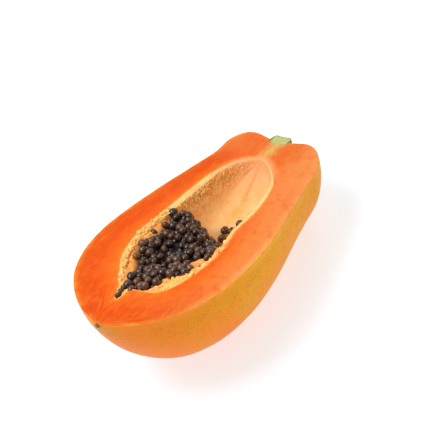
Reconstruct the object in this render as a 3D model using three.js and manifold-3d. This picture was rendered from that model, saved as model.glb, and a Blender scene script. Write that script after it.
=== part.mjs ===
// Half of a ripe papaya, cut lengthwise through its stalk, with the seeds still in the hollow.
// Millimetres, +Z up. The half lies on its rounded back with the cut face up.
//
// The fruit is drawn in a frame of its own: +X runs from the blossom tip to the stalk, the
// knife went along z = 0, and the flesh hangs below that plane. The finished half is pitched
// a little, as its weight makes it lie, and set down on z = 0 with the middle of the small
// flat spot that it rests on at the origin.
import * as THREE from "three";
import { mergeVertices } from "three/addons/utils/BufferGeometryUtils.js";
import Module from "manifold-3d";

const wasm = await Module();
wasm.setup();

// Driving dimensions
const PITCH = THREE.MathUtils.degToRad(9.4); // how far the cut face leans towards the stalk
const REST_X = 101.5; // middle of the flat spot, along the fruit
const REST_DEPTH = 62.85; // how far the flat spot's middle is below the knife's plane
const ROUNDNESS = 1.03; // depth of the back over the half-width of the cut face
const HOLLOW_DEPTH = 1.08; // the same for the hollow
const LEDGE = 4.2; // width of the soft pulp ledge round the hollow
const LEDGE_DROP = 1.8; // how far the ledge slopes down
const GAP = 0.35; // clear space between neighbouring pieces
const STALK_RADIUS = 8.3; // the stub of the fruit stalk, where it leaves the fruit
const STALK_LENGTH = 5.2; // how far the stub stands out
const STALK_ROOT = 2.6; // how far it reaches into the flesh
const STALK_AT = [195.8, 1.2]; // its middle, along the fruit and across it
const SEED_RADIUS = 2.35; // the smallest seed in its coat
const SEED_SPREAD = 0.5; // how much larger the largest is
const STRAY_RADIUS = 2.65; // the seeds that stick to the wall

// The cut face from the blossom tip to the stalk: x and y along each edge of the skin.
const SKIN_LEFT = [
  [0, 0], [4.5, 12], [16, 32], [35, 51], [57, 61.3], [80, 64], [104, 60.6], [130, 54],
  [155, 46], [174, 40.2], [188, 39.6], [197.5, 33.5], [200, 25], [197.8, 15], [196, 8],
  [195.5, 0],
];
const SKIN_RIGHT = [
  [0, 0], [3, -14], [13, -34], [31, -51.5], [54, -60.8], [79, -63.2], [104, -61.3],
  [130, -55.6], [155, -50.2], [172, -46.6], [186, -38.8], [194.5, -30], [197.8, -21.5],
  [197, -14], [196, -8], [195.5, 0],
];

// The hollow's edges. It starts as a slit beside a tongue of flesh, then widens.
const HOLLOW_LEFT = [
  [23.5, 4.4], [26, 6.6], [31, 9], [35, 11], [37, 12.3], [38.5, 13.6], [45, 19], [60, 30],
  [75, 34.6], [90, 35.8], [105, 33.6], [123, 31.8], [140, 29.6], [154, 26.6], [165, 20.2],
  [172, 12], [174.5, 1],
];
const HOLLOW_RIGHT = [
  [23.5, 4.4], [26, 2.9], [31, 1.6], [35, 0.2], [36, -8], [37.5, -17.5], [45, -25.5],
  [60, -31.5], [75, -34.2], [90, -34], [105, -30.5], [123, -31.4], [140, -29.2],
  [154, -24.4], [165, -15], [172, -6.5], [174.5, 1],
];

// The edges of the heap of seeds, through the middles of the outermost seeds.
const HEAP_LEFT = [
  [25, 5], [33, 8], [41, 11.5], [50, 15.5], [58, 19.5], [68, 28], [80, 31], [90, 28],
  [98, 28.5], [108, 29.5], [115, 25],
];
const HEAP_RIGHT = [
  [25, 5], [33, 4.5], [38.5, -9], [44, -12.5], [55, -15], [58, -23.5], [64, -26],
  [71, -20.5], [78, -26.5], [84, -28], [90, -28.5],
];

const curve = (points) => new THREE.SplineCurve(points.map((p) => new THREE.Vector2(...p)));
const skinEdges = [curve(SKIN_LEFT), curve(SKIN_RIGHT)];
const hollowEdges = [curve(HOLLOW_LEFT), curve(HOLLOW_RIGHT)];
const heapEdges = [curve(HEAP_LEFT), curve(HEAP_RIGHT)];

// A bump that is 1 at the middle and fades out over the reach on both sides.
const bump = (x, middle, reach) => Math.exp(-(((x - middle) / reach) ** 2));

// A body hung between two edges. The turn runs round it: 0 is the left edge, half a turn is
// the right edge, and the back lies between them.
function hung(edges, along, turn, depth) {
  const left = edges[0].getPoint(along);
  const right = edges[1].getPoint(along);
  const share = (1 + Math.cos(turn)) / 2;
  const x = right.x + (left.x - right.x) * share;
  const y = right.y + (left.y - right.y) * share;
  const halfWidth = (left.y - right.y) / 2;
  return new THREE.Vector3(x, y, -halfWidth * depth * Math.sin(turn));
}

// Faint lobes run along the back and fade at the cut face.
const LOBES = 5;
const LOBE_HEIGHT = 0.009; // over the distance from the fruit's axis
function skinPoint(along, turn) {
  const p = hung(skinEdges, along, turn, ROUNDNESS);
  const lobe = 1 + LOBE_HEIGHT * Math.sin(LOBES * turn) * Math.sin(turn) ** 2;
  return new THREE.Vector3(p.x, p.y * lobe, p.z * lobe);
}

// The pulp ledge is widest on the right near the blossom end, where the seeds stand back.
const LEDGE_EXTRA = 9;
const LEDGE_EXTRA_AT = 48;
const LEDGE_EXTRA_REACH = 10;
const LEDGE_SHARE = 0.6; // the most of the half-width that it takes
function ledgeWidth(x, halfWidth, right) {
  const extra = right ? LEDGE_EXTRA * bump(x, LEDGE_EXTRA_AT, LEDGE_EXTRA_REACH) : 0;
  return Math.min(LEDGE + extra, halfWidth * LEDGE_SHARE);
}

// Long low ribs on the wall, where the seeds were attached.
const RIB_HEIGHT = 1.1;
const RIBS = 10;
const FIRST_RIB = 0.6; // the turn, in radians of the wave, at the left edge
const RIBS_AT = 125;
const RIBS_REACH = 45;
const RIBS_FADE = 20; // half-width of the hollow under which they fade
function ribHeight(x, turn, halfWidth) {
  const height = RIB_HEIGHT * Math.cos(RIBS * turn + FIRST_RIB) * bump(x, RIBS_AT, RIBS_REACH);
  return height * Math.min(halfWidth / RIBS_FADE, 1);
}

// Half of the hollow's cross-section, as a distance out from its middle and a distance down:
// first the ledge, then the wall down to the floor.
const LEDGE_TURN = 0.3; // the share of a quarter turn that the ledge takes
function hollowSection(quarter, halfWidth, ledge, drop, floor, rib) {
  if (quarter < LEDGE_TURN) {
    const step = quarter / LEDGE_TURN;
    return [halfWidth - ledge * step, drop * step ** 1.5];
  }
  const dip = ((quarter - LEDGE_TURN) / (1 - LEDGE_TURN)) * (Math.PI / 2);
  const ribHere = rib * Math.sin(dip);
  const out = (halfWidth - ledge - ribHere) * Math.cos(dip);
  return [out, drop + (floor - drop - ribHere) * Math.sin(dip)];
}

// A point of the hollow's wall. The inset draws the whole wall inwards, and past half a turn
// the same wall is mirrored above the knife's plane, to close the shape.
const DROP_SHARE = 0.3; // the most of the half-width that the ledge drops
function hollowPoint(along, turn, inset) {
  const above = turn > Math.PI;
  const under = above ? 2 * Math.PI - turn : turn;
  const right = under > Math.PI / 2;
  const quarter = (right ? Math.PI - under : under) / (Math.PI / 2);
  const edge = hung(hollowEdges, along, right ? Math.PI : 0, 0);
  const middle = hung(hollowEdges, along, Math.PI / 2, HOLLOW_DEPTH);
  const halfWidth = Math.abs(edge.y - middle.y);
  const reach = Math.max(halfWidth - inset, 0);
  const ledge = halfWidth > 0 ? (ledgeWidth(edge.x, halfWidth, right) * reach) / halfWidth : 0;
  const drop = Math.min(LEDGE_DROP, halfWidth * DROP_SHARE);
  const floor = Math.max(-middle.z - inset, drop);
  const rib = ribHeight(edge.x, under, reach);
  const [out, down] = hollowSection(quarter, reach, ledge, drop, floor, rib);
  const x = hung(hollowEdges, along, under, 0).x;
  const y = middle.y + (right ? -out : out);
  return new THREE.Vector3(x, y, above ? down : -down);
}

// A closed ball's grid of points, reshaped: its poles become the two ends of the fruit.
function reshapedBall(around, along, place) {
  const ball = new THREE.SphereGeometry(1, around, along);
  const { position, uv } = ball.attributes;
  for (let i = 0; i < position.count; i++) {
    const p = place(1 - uv.getY(i), uv.getX(i) * 2 * Math.PI);
    position.setXYZ(i, p.x, p.y, p.z);
  }
  return ball;
}

// From a geometry to a solid, and back. One that comes out inside out is turned over.
const SAME_POINT = 1e-3;
function solid(geometry) {
  const bare = geometry.clone();
  bare.deleteAttribute("normal");
  bare.deleteAttribute("uv");
  const merged = mergeVertices(bare, SAME_POINT);
  const made = new wasm.Manifold(
    new wasm.Mesh({
      numProp: 3,
      vertProperties: new Float32Array(merged.attributes.position.array),
      triVerts: new Uint32Array(merged.index.array),
    }),
  );
  if (made.volume() > 0) return made;
  merged.index.array.reverse();
  return solid(merged);
}

function geometryOf(body) {
  const mesh = body.getMesh();
  const geometry = new THREE.BufferGeometry();
  geometry.setAttribute("position", new THREE.BufferAttribute(mesh.vertProperties, 3));
  geometry.setIndex(new THREE.BufferAttribute(mesh.triVerts, 1));
  geometry.computeVertexNormals();
  return geometry;
}

// The knife takes everything above z = 0.
const FAR = 400; // well past the fruit on every side
function knife() {
  const box = new THREE.BoxGeometry(FAR, FAR, FAR);
  box.translate(FAR / 4, 0, FAR / 2);
  return solid(box);
}

// The table's top, seen from the fruit's own frame
function table() {
  const box = new THREE.BoxGeometry(FAR, FAR, FAR);
  box.translate(0, 0, -FAR / 2);
  box.rotateY(-PITCH);
  box.translate(REST_X, 0, -REST_DEPTH);
  return solid(box);
}

// The stub of the fruit stalk: round with blunt ribs, tapering a little, its end slightly
// dished. The grow argument makes it larger all round, for the socket it sits in.
const STALK_TAPER = [[1, 0], [0.92, 0.55], [0.78, 1]]; // radius and height, over its own
const STALK_FOOT = 0.95; // radius of its foot, over the stub's radius
const STALK_RIM = 0.5; // radius of the raised rim of its end
const STALK_RIM_HEIGHT = 0.6;
const STALK_DISH_HEIGHT = 0.3;
const STALK_RIBS = 5;
const STALK_RIB_HEIGHT = 0.05; // over the radius
const STALK_SIDES = 30;
function stalk(grow) {
  const foot = -STALK_ROOT - grow;
  const outline = [
    [0, foot], [STALK_RADIUS * STALK_FOOT + grow, foot],
    ...STALK_TAPER.map(([r, h]) => [STALK_RADIUS * r + grow, STALK_LENGTH * h]),
    [STALK_RADIUS * STALK_RIM, STALK_LENGTH + STALK_RIM_HEIGHT],
    [0, STALK_LENGTH + STALK_DISH_HEIGHT],
  ].map((p) => new THREE.Vector2(...p));
  const stub = new THREE.LatheGeometry(outline, STALK_SIDES);
  const { position } = stub.attributes;
  for (let i = 0; i < position.count; i++) {
    const turn = Math.atan2(position.getZ(i), position.getX(i));
    const ribbed = 1 + STALK_RIB_HEIGHT * Math.cos(STALK_RIBS * turn);
    position.setX(i, position.getX(i) * ribbed);
    position.setZ(i, position.getZ(i) * ribbed);
  }
  stub.rotateZ(-Math.PI / 2);
  stub.translate(...STALK_AT, 0);
  return solid(stub);
}

// The withered blossom scar: a small ball, flattened against the tip of the skin
const SCAR_RADIUS = 2.2;
const SCAR_SHAPE = [0.7, 1.2, 1];
const SCAR_AT = [0.4, -0.6, -1.2];
function blossomScar() {
  const scar = new THREE.SphereGeometry(SCAR_RADIUS, 10, 8);
  scar.scale(...SCAR_SHAPE);
  scar.translate(...SCAR_AT);
  return solid(scar);
}

// Facets of the skin and of the hollow, around the fruit and along it
const SKIN_FACETS = [52, 40];
const HOLLOW_FACETS = [48, 44];
function hollow(inset) {
  return reshapedBall(...HOLLOW_FACETS, (along, turn) => hollowPoint(along, turn, inset));
}

// Flesh and skin, one grown piece
function fruitHalf() {
  return solid(reshapedBall(...SKIN_FACETS, skinPoint))
    .add(blossomScar())
    .subtract(knife())
    .subtract(solid(hollow(0)))
    .subtract(stalk(GAP))
    .subtract(table());
}

// Park and Miller's generator: the same numbers each time
function drawsFrom(first) {
  let state = first;
  return () => {
    state = (state * 16807) % 2147483647;
    return state / 2147483647;
  };
}

// Where an edge is at a given x, found by halving
const HALVINGS = 24;
function edgeAt(edge, x) {
  let low = 0;
  let high = 1;
  for (let i = 0; i < HALVINGS; i++) {
    const middle = (low + high) / 2;
    if (edge.getPoint(middle).x < x) low = middle;
    else high = middle;
  }
  return edge.getPoint(low).y;
}

// The heap's left and right edge at a given x. Past their ends both run straight on.
const HEAP_LEFT_END = 114;
const HEAP_RIGHT_END = 89;
function heapSides(x) {
  const [left, right] = heapEdges;
  return [edgeAt(left, Math.min(x, HEAP_LEFT_END)), edgeAt(right, Math.min(x, HEAP_RIGHT_END))];
}

// The top of the heap: just under the knife's plane on the right, lower on the left, with a
// dip between them, and a steep front towards the stalk.
const HEAP_BELOW_CUT = 1.4;
const LEFT_BELOW_RIGHT = 2.4;
const LEFT_FALLS = [34, 60]; // between these two x the left side sinks to its level
const DIP_DEPTH = 5;
const DIP_AT = 84;
const DIP_REACH = 24;
const FRONT_AT = 103.5;
const FRONT_SLANT = 0.5; // how much further the front stands on the left
const FRONT_SLOPE = 2.6;
const BESIDE_SLOPE = 1.2; // how it falls away past its edges
const EDGE_WIDTH = 1; // how far past an edge the heap still reaches
function heapTop(x, y) {
  const [left, right] = heapSides(x);
  const across = THREE.MathUtils.clamp((y - right) / Math.max(left - right, 1), 0, 1);
  const sunk = LEFT_BELOW_RIGHT * across * THREE.MathUtils.smoothstep(x, ...LEFT_FALLS);
  const dip = DIP_DEPTH * Math.sin(Math.PI * across) * bump(x, DIP_AT, DIP_REACH);
  const front = Math.max(x - FRONT_AT - FRONT_SLANT * y, 0);
  const beside = Math.max(y - left - EDGE_WIDTH, right - EDGE_WIDTH - y, 0);
  return -HEAP_BELOW_CUT - sunk - dip - FRONT_SLOPE * front - BESIDE_SLOPE * beside;
}

// The seeds, each in its jelly coat, in uneven rows across the heap
const FIRST_ROW_AT = 27;
const LAST_SEED_AT = 120;
const ROWS = 20;
const COLUMNS_BESIDE = 6; // on each side of the middle one
const ROW_STEP = 5;
const SEED_STEP = 5.6;
const JITTER = 2.2;
const FIRST_DRAW = 20261;
function seedPlaces() {
  const draw = drawsFrom(FIRST_DRAW);
  const places = [];
  for (let row = 0; row < ROWS; row++) {
    for (let column = -COLUMNS_BESIDE; column <= COLUMNS_BESIDE; column++) {
      const shift = (row % 2) * (SEED_STEP / 2);
      const x = FIRST_ROW_AT + row * ROW_STEP + (draw() - 0.5) * JITTER;
      const y = column * SEED_STEP + shift + (draw() - 0.5) * JITTER;
      const z = heapTop(x, y) + (draw() - 0.5) * JITTER;
      const radius = SEED_RADIUS + SEED_SPREAD * draw();
      const turns = [draw() * Math.PI, draw() * Math.PI];
      const [left, right] = heapSides(x);
      const inHeap = y < left + EDGE_WIDTH && y > right - EDGE_WIDTH;
      if (x < LAST_SEED_AT && inHeap) places.push({ x, y, z, radius, turns });
    }
  }
  return places;
}

const SEED_SHAPE = [1.12, 0.94, 0.94]; // a seed is a little longer than it is thick
function seedSolid({ x, y, z, radius, turns }) {
  const seed = new THREE.IcosahedronGeometry(radius, 0);
  seed.scale(...SEED_SHAPE);
  seed.rotateZ(turns[0]);
  seed.rotateX(turns[1]);
  seed.translate(x, y, z);
  return solid(seed);
}

// Everything that may stand in the hollow: its own space, drawn in by the gap
const ROOM_INSET = GAP + 0.1; // the facets bring it nearer to the wall between their corners
const ROOM_SHRINK = 0.993; // along the fruit, about the hollow's middle
const HOLLOW_MIDDLE = 99;
function seedRoom() {
  const room = hollow(ROOM_INSET);
  room.translate(-HOLLOW_MIDDLE, 0, 0);
  room.scale(ROOM_SHRINK, 1, 1);
  room.translate(HOLLOW_MIDDLE, 0, 0);
  return solid(room);
}

// The pulp that the seeds hang in fills the hollow up to just below their tops. It is a block
// whose upper side follows the top of the heap, before the hollow's wall trims it.
const PULP_SIZE = [100, 70, 60];
const PULP_FACETS = [17, 12, 1];
const PULP_MIDDLE = [76, 0, -32];
const PULP_BELOW_SEEDS = 1.5;
const PULP_LOWEST_TOP = -60;
function pulp() {
  const block = new THREE.BoxGeometry(...PULP_SIZE, ...PULP_FACETS);
  block.translate(...PULP_MIDDLE);
  const { position } = block.attributes;
  for (let i = 0; i < position.count; i++) {
    const top = heapTop(position.getX(i), position.getY(i)) - PULP_BELOW_SEEDS;
    const isUpper = position.getZ(i) > PULP_MIDDLE[2];
    if (isUpper) position.setZ(i, Math.max(top, PULP_LOWEST_TOP));
  }
  return solid(block);
}

// Seeds and pulp in one body. Where the wall cuts off a crumb of it, only the heap is kept.
function seedHeap() {
  const seeds = seedPlaces().map(seedSolid);
  const heap = wasm.Manifold.union([pulp(), ...seeds]).intersect(seedRoom());
  return heap.decompose().sort((a, b) => b.volume() - a.volume())[0];
}

const material = (color, roughness) =>
  new THREE.MeshStandardMaterial({ color, roughness, metalness: 0 });
const fleshFinish = material(0xf9803a, 0.42);
const stalkFinish = material(0xb9bd78, 0.7);
const seedFinish = material(0x2b211d, 0.28);

const half = new THREE.Group();
function addPiece(name, body, finish) {
  const mesh = new THREE.Mesh(geometryOf(body), finish);
  mesh.name = name;
  half.add(mesh);
  return mesh;
}

const fruit = addPiece("fruit_half", fruitHalf(), fleshFinish);
addPiece("stalk_stub", stalk(0).subtract(knife()), stalkFinish);
addPiece("seed_heap", seedHeap(), seedFinish);

// Seeds that fell out of the heap and stick to the hollow's wall. Each is found by looking
// from a point inside the hollow along a direction, until the wall is met.
const DOWN = new THREE.Vector3(0, 0, -1);
const RIGHT = new THREE.Vector3(0, -1, 0);
const STRAYS = [
  // x, y and z of the point, and the direction
  [130.5, 10.3, 0, DOWN], [124.2, 8.5, 0, DOWN], [131, 3, 0, DOWN],
  [109, 0, -6, RIGHT], [116.5, 0, -6, RIGHT],
];
const STRAY_OFF_WALL = 1.1; // from the wall to its middle, over its radius
STRAYS.forEach(([x, y, z, direction], i) => {
  const look = new THREE.Raycaster(new THREE.Vector3(x, y, z), direction);
  const [hit] = look.intersectObject(fruit);
  const centre = hit.point.addScaledVector(hit.face.normal, STRAY_RADIUS * STRAY_OFF_WALL + GAP);
  const place = { x: centre.x, y: centre.y, z: centre.z, radius: STRAY_RADIUS, turns: [i, 2 * i] };
  addPiece(`stray_seed_${i + 1}`, seedSolid(place), seedFinish);
});

// Lay the half on the table.
half.rotation.y = PITCH;
const rest = new THREE.Vector3(REST_X, 0, -REST_DEPTH);
half.position.copy(rest.applyEuler(half.rotation)).negate();

export default half;
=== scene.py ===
import bpy
import math
from mathutils import Matrix, Vector, kdtree, noise


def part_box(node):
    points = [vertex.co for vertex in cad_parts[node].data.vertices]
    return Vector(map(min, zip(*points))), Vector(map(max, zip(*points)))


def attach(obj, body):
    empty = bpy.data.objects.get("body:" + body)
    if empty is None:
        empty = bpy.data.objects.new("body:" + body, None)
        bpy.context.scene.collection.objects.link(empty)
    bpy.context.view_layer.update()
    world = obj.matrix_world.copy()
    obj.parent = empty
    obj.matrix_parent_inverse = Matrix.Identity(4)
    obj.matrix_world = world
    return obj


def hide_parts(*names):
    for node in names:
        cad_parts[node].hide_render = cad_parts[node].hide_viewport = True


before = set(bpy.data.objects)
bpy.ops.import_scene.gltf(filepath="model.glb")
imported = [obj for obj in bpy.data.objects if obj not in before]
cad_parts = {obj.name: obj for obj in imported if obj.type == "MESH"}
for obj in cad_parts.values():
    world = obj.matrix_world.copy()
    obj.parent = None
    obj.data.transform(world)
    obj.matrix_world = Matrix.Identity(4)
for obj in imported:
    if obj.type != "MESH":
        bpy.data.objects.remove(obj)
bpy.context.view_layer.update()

# Fruit half. One grown piece of skin, flesh and the pulpy lining of the hollow, cut lengthwise
# with a knife. Two balls are drawn out into the skin and the hollow, their upper halves are
# taken off along the cut, and the cut face is bridged between the two open rims.

MM = 0.001
SKIN_LEFT = [
    (0, 0), (4.5, 12), (16, 32), (35, 51), (57, 61.3), (80, 64), (104, 60.6), (130, 54),
    (155, 46), (174, 40.2), (188, 39.6), (197.5, 33.5), (200, 25), (197.8, 15), (196, 8),
    (195.5, 0),
]
SKIN_RIGHT = [
    (0, 0), (3, -14), (13, -34), (31, -51.5), (54, -60.8), (79, -63.2), (104, -61.3),
    (130, -55.6), (155, -50.2), (172, -46.6), (186, -38.8), (194.5, -30), (197.8, -21.5),
    (197, -14), (196, -8), (195.5, 0),
]
HOLLOW_LEFT = [
    (23.5, 4.4), (26, 6.6), (31, 9), (35, 11), (37, 12.3), (38.5, 13.6), (45, 19), (60, 30),
    (75, 34.6), (90, 35.8), (105, 33.6), (123, 31.8), (140, 29.6), (154, 26.6), (165, 20.2),
    (172, 12), (174.5, 1),
]
HOLLOW_RIGHT = [
    (23.5, 4.4), (26, 2.9), (31, 1.6), (35, 0.2), (36, -8), (37.5, -17.5), (45, -25.5),
    (60, -31.5), (75, -34.2), (90, -34), (105, -30.5), (123, -31.4), (140, -29.2),
    (154, -24.4), (165, -15), (172, -6.5), (174.5, 1),
]

# The half lies on its back with the cut face leaning towards the stalk.
PITCH = math.radians(9.4)
REST = Vector((101.5, 0, -62.85))
LAID = Matrix.Scale(MM, 4) @ Matrix.Rotation(PITCH, 4, "Y") @ Matrix.Translation(-REST)

# Skin: how round the back is, its faint lobes, and its dents, each with a size and a depth.
ROUNDNESS = 1.03
LOBES = 5
LOBE_HEIGHT = 0.009
DENTS = ((26, 0.5), (9, 0.16))
DENT_FLATNESS = 70

# Hollow: a ledge of lumpy pulp under the rim, wider on the right by the blossom end and narrower
# by the stalk, and below it the bowl.
HOLLOW_DEPTH = 1.08
HOLLOW_LEAD = 0.2
LEDGE = 4.2
LEDGE_SHARE = 0.6
LEDGE_DROP = 1.8
DROP_SHARE = 0.3
DROP_CURVE = 1.5
LEDGE_TURN = 0.3
EXTRA_LEDGE = 9
EXTRA_MIDDLE = 48
EXTRA_REACH = 10
STALK_NARROWING = 0.55
NARROW_FROM = 140
NARROW_TO = 166
LUMP_SIZE = 1.9
LUMP_HEIGHT = 0.3
LUMP_UNEVENNESS = 0.7
LUMP_STRETCH = 9
LUMP_LAYER = 3
LUMP_FADE = 8

# Relief of the bowl: ribs that run lengthwise, and torn crumbs and creases towards the stalk. A
# crumb patch has a height, a size, a middle and reach down the wall, and both along the fruit.
# A crease has a depth, a middle and reach round the wall, and where along the fruit it sets in.
RIBS = 10
RIB_HEIGHT = 1.1
RIB_SHIFT = 0.6
RIB_MIDDLE = 125
RIB_REACH = 45
RIB_FADE = 20
CRUMB_HEIGHT = 1.9
CRUMB_PATCHES = ((1, 1.7, 0.3, 0.3, 158, 14), (0.6, 2.4, 0.4, 0.35, 136, 20))
CREASE_DEPTH = 1.1
CREASES = ((1, 1.3, 0.06, 146, 158), (0.6, 0.95, 0.05, 152, 162))
WAVE_HEIGHT = 0.5
WAVE_SIZE = 7
RELIEF_FADE = 12


def bump(x, middle, reach):
    return math.exp(-(((x - middle) / reach) ** 2))


def smooth(x, low, high):
    share = min(max((x - low) / (high - low), 0), 1)
    return share * share * (3 - 2 * share)


def along_curve(points, along):
    """A point of a smooth curve through all the points, evenly shared between them."""
    last = len(points) - 1
    place = min(max(along, 0), 1) * last
    i = min(int(place), last - 1)
    share = place - i
    neighbours = (points[max(i - 1, 0)], points[i], points[i + 1], points[min(i + 2, last)])
    out = []
    for before, start, end, after in zip(*neighbours):
        leaving = (end - before) / 2
        arriving = (after - start) / 2
        cubic = 2 * start - 2 * end + leaving + arriving
        square = 3 * end - 3 * start - 2 * leaving - arriving
        out.append(cubic * share**3 + square * share**2 + leaving * share + start)
    return out


def hung(left, right, along, turn, depth):
    """A point of a body hung between two edges; turn 0 is the left edge, half a turn the right."""
    left_x, left_y = along_curve(left, along)
    right_x, right_y = along_curve(right, along)
    share = (1 + math.cos(turn)) / 2
    x = right_x + (left_x - right_x) * share
    y = right_y + (left_y - right_y) * share
    return Vector((x, y, -(left_y - right_y) / 2 * depth * math.sin(turn)))


def skin_point(along, turn):
    """A point of the skin, with the lobes and dents of a grown fruit."""
    p = hung(SKIN_LEFT, SKIN_RIGHT, along, turn, ROUNDNESS)
    fade = math.sin(turn) ** 2
    lobe = 1 + LOBE_HEIGHT * math.sin(LOBES * turn) * fade
    p = Vector((p.x, p.y * lobe, p.z * lobe))
    dent = sum(noise.noise(p / size) * depth for size, depth in DENTS)
    return p * (1 - dent * abs(math.sin(turn)) / DENT_FLATNESS)


def bowl_relief(x, edge_x, half_width, turn, dip, spot):
    """How far ribs, crumbs, creases and waves lift the bowl of the hollow at a spot."""
    rib = RIB_HEIGHT * math.cos(RIBS * turn + RIB_SHIFT) * bump(edge_x, RIB_MIDDLE, RIB_REACH)
    rib *= min(half_width / RIB_FADE, 1) * math.sin(dip)
    crumb = 0
    for height, size, low, low_reach, middle, reach in CRUMB_PATCHES:
        patch = height * noise.noise(spot / size) * bump(dip, low, low_reach)
        crumb += patch * bump(x, middle, reach)
    crease = 0
    for depth, around, around_reach, start, end in CREASES:
        crease += depth * bump(turn, around, around_reach) * smooth(edge_x, start, end)
    uneven = CRUMB_HEIGHT * crumb - CREASE_DEPTH * crease
    uneven += WAVE_HEIGHT * noise.noise(spot / WAVE_SIZE)
    return rib + uneven * min(half_width / RELIEF_FADE, 1)


def hollow_point(along, turn):
    """A point of the wall of the hollow: a narrow ledge under the rim, then a ribbed bowl."""
    right = turn > math.pi / 2
    quarter = (math.pi - turn if right else turn) / (math.pi / 2)
    edge = hung(HOLLOW_LEFT, HOLLOW_RIGHT, along, math.pi if right else 0, 0)
    middle = hung(HOLLOW_LEFT, HOLLOW_RIGHT, along, math.pi / 2, HOLLOW_DEPTH)
    half_width = abs(edge.y - middle.y)
    extra = EXTRA_LEDGE * bump(edge.x, EXTRA_MIDDLE, EXTRA_REACH) if right else 0
    ledge = min(LEDGE + extra, half_width * LEDGE_SHARE)
    ledge *= 1 - STALK_NARROWING * smooth(edge.x, NARROW_FROM, NARROW_TO)
    drop = min(LEDGE_DROP, half_width * DROP_SHARE)
    x = hung(HOLLOW_LEFT, HOLLOW_RIGHT, along, turn, 0).x
    if quarter < LEDGE_TURN:
        step = quarter / LEDGE_TURN
        lump_at = Vector((x, quarter * LUMP_STRETCH, LUMP_LAYER)) / LUMP_SIZE
        lumps = step * (LUMP_HEIGHT + LUMP_UNEVENNESS * noise.noise(lump_at))
        out = half_width - ledge * step
        down = drop * step**DROP_CURVE - lumps * min(half_width / LUMP_FADE, 1)
    else:
        dip = (quarter - LEDGE_TURN) / (1 - LEDGE_TURN) * math.pi / 2
        wall = half_width - ledge
        floor = max(-middle.z, drop)
        spot = Vector((x, wall * math.cos(dip), floor * math.sin(dip)))
        relief = bowl_relief(x, edge.x, half_width, turn, dip, spot)
        out = (wall - relief) * math.cos(dip)
        down = drop + (floor - drop - relief) * math.sin(dip)
    y = middle.y - out if right else middle.y + out
    return Vector((x, y, -max(down, 0)))


def wall_point(along, turn):
    """A point of the hollow that lies straight across from the same place along the skin."""
    return hollow_point(along + HOLLOW_LEAD * math.sin(math.pi * along), turn)


HAIR = 1e-5


def drawn_out_ball(name, around, rings, place):
    """A ball whose poles become the two ends of the fruit, with its upper half taken off."""
    bpy.ops.object.select_all(action="DESELECT")
    bpy.ops.mesh.primitive_uv_sphere_add(segments=around, ring_count=rings, radius=1)
    ball = bpy.context.object
    ball.name = name
    upper = []
    for v in ball.data.vertices:
        along = math.acos(max(-1, min(1, -v.co.z))) / math.pi
        turn = math.atan2(v.co.y, v.co.x) % (2 * math.pi)
        if turn > 2 * math.pi - HAIR or math.hypot(v.co.x, v.co.y) < HAIR:
            turn = 0
        upper.append(turn > math.pi + HAIR)
        v.co = place(along, min(turn, math.pi))
    bpy.ops.object.mode_set(mode="EDIT")
    bpy.ops.mesh.select_mode(type="VERT")
    bpy.ops.mesh.select_all(action="DESELECT")
    bpy.ops.object.mode_set(mode="OBJECT")
    for v, over in zip(ball.data.vertices, upper):
        v.select = over
    bpy.ops.object.mode_set(mode="EDIT")
    bpy.ops.mesh.delete(type="VERT")
    bpy.ops.object.mode_set(mode="OBJECT")
    return ball


RINGS = 150
SKIN_STEPS = 144
WALL_STEPS = 176
FLESH_ROWS = 30
SAME_POINT = 0.0005
skin = drawn_out_ball("fruit", SKIN_STEPS, RINGS, skin_point)
wall = drawn_out_ball("hollow", WALL_STEPS, RINGS, wall_point)
wall_group = wall.vertex_groups.new(name="wall")
wall_group.add(range(len(wall.data.vertices)), 1, "REPLACE")

# The cut face is a strip of flesh laid round between the rims of the hollow and of the skin.
bpy.ops.object.select_all(action="DESELECT")
bpy.ops.mesh.primitive_grid_add(x_subdivisions=2 * RINGS, y_subdivisions=FLESH_ROWS, size=2)
cut_face = bpy.context.object
for v in cut_face.data.vertices:
    along, turn = v.co.x + 1, 0
    if along > 1:
        along, turn = 2 - along, math.pi
    v.co = wall_point(along, turn).lerp(skin_point(along, turn), (v.co.y + 1) / 2)

bpy.ops.object.select_all(action="DESELECT")
for half in (wall, cut_face, skin):
    half.select_set(True)
bpy.context.view_layer.objects.active = skin
bpy.ops.object.join()
fruit = skin
bpy.ops.object.mode_set(mode="EDIT")
bpy.ops.mesh.select_all(action="SELECT")
bpy.ops.mesh.remove_doubles(threshold=SAME_POINT)
bpy.ops.mesh.normals_make_consistent(inside=False)
bpy.ops.object.mode_set(mode="OBJECT")

# The knife leaves a crisp edge on the skin, softened by a hair.
EDGE_SOFTNESS = 0.45
LEVEL = 0.98
STEEP = 0.55
mesh = fruit.data
bpy.ops.object.mode_set(mode="EDIT")
bpy.ops.mesh.select_all(action="DESELECT")
bpy.ops.object.mode_set(mode="OBJECT")
sides = {}
for face in mesh.polygons:
    for key in face.edge_keys:
        sides.setdefault(key, []).append(face.normal.z)
for edge in mesh.edges:
    normals = sides[tuple(sorted(edge.vertices))]
    flat = [n for n in normals if n > LEVEL]
    steep = [n for n in normals if n < STEEP]
    on_skin = not any(mesh.vertices[i].groups for i in edge.vertices)
    edge.select = on_skin and len(flat) == 1 and len(steep) == 1
bpy.ops.object.mode_set(mode="EDIT")
bpy.ops.mesh.bevel(offset=EDGE_SOFTNESS, offset_type="OFFSET", segments=3, profile=0.5)
bpy.ops.object.mode_set(mode="OBJECT")

# Each point gets, for its colour, its place in the fruit, whether it is on the skin or in the
# hollow, and how far it is from both, in millimetres.
EDGE_SAMPLES = 900
BELOW_CUT = -0.004
KNIFE_WAVER = 0.12
WAVER_REACH = 9
SHARPEST_SHADED = math.radians(62)


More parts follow.
